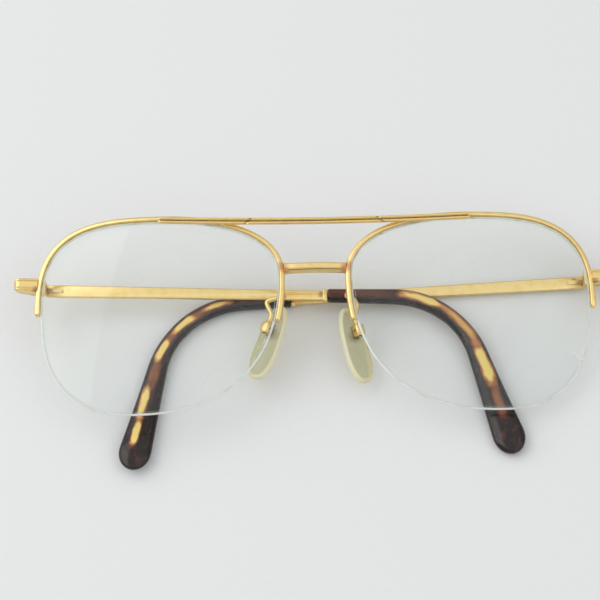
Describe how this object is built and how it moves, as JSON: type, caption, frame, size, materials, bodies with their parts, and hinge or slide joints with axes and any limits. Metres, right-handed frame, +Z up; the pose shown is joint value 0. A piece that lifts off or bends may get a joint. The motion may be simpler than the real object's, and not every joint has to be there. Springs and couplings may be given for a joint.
{
  "type": "semi-rimless pilot eyeglasses",
  "caption": "Worn gold semi-rimless pilot eyeglasses with brow bar, nylon-held lenses, tortoiseshell tips, folded face up.",
  "frame": {"origin": "middle of the bounding box at the surface the folded glasses lie on", "axes": "+X along the front toward the picture's right lens, +Y from the lower lens edge toward the brow bar, +Z up, out of the front"},
  "size_m": [0.1468, 0.0606, 0.0211],
  "materials": {
    "gold_metal": "gold plated, satin, with coppery wear at the bridge and brown tarnish near the hinges",
    "screw_metal": "tarnished",
    "lens_glass": "clear, polished, with a faint green coating reflection and fine scratches",
    "clear_liner": "translucent, slightly yellowed",
    "nylon": "translucent white line",
    "tortoise_acetate": "polished tortoiseshell, dark brown with amber and red-brown patches",
    "aged_pad": "translucent, yellowed and dirty round the lug"
  },
  "bodies": {
    "front": {"brow_bar": "gold_metal", "bridge": "gold_metal", "left_lens": "lens_glass", "left_rim": "gold_metal", "left_rim_liner": "clear_liner", "left_nylon_cord": "nylon", "left_end_piece": "gold_metal", "left_front_hinge": "gold_metal", "left_hinge_screw": "screw_metal", "left_pad_arm": "gold_metal", "left_pad_box": "gold_metal", "left_pad_screw": "screw_metal", "right_lens": "lens_glass", "right_rim": "gold_metal", "right_rim_liner": "clear_liner", "right_nylon_cord": "nylon", "right_end_piece": "gold_metal", "right_front_hinge": "gold_metal", "right_hinge_screw": "screw_metal", "right_pad_arm": "gold_metal", "right_pad_box": "gold_metal", "right_pad_screw": "screw_metal"},
    "left_temple": {"left_temple_bar": "gold_metal", "left_temple_hinge": "gold_metal", "left_temple_tip": "tortoise_acetate"},
    "left_pad": {"left_nose_pad": "aged_pad", "left_pad_lug": "screw_metal"},
    "right_temple": {"right_temple_bar": "gold_metal", "right_temple_hinge": "gold_metal", "right_temple_tip": "tortoise_acetate"},
    "right_pad": {"right_nose_pad": "aged_pad", "right_pad_lug": "screw_metal"}
  },
  "joints": [
    {"name": "left_temple_fold", "type": "hinge", "parent": "front", "child": "left_temple", "pos_m": [-0.06698, 0.01555, 0.00917], "axis": [0.0403, 0.983, 0.1792], "range_deg": [0, 91]},
    {"name": "right_temple_fold", "type": "hinge", "parent": "front", "child": "right_temple", "pos_m": [0.06674, 0.01605, 0.00369], "axis": [0.0329, -0.9827, -0.1822], "range_deg": [0, 88]},
    {"name": "left_pad_rock", "type": "hinge", "parent": "front", "child": "left_pad", "pos_m": [-0.01196, 0.00327, 0.00953], "axis": [0.7592, -0.3863, 0.5238], "range_deg": [-8, 8]},
    {"name": "right_pad_rock", "type": "hinge", "parent": "front", "child": "right_pad", "pos_m": [0.01042, 0.00228, 0.00841], "axis": [0.7394, 0.3017, -0.6018], "range_deg": [-8, 8]}
  ]
}
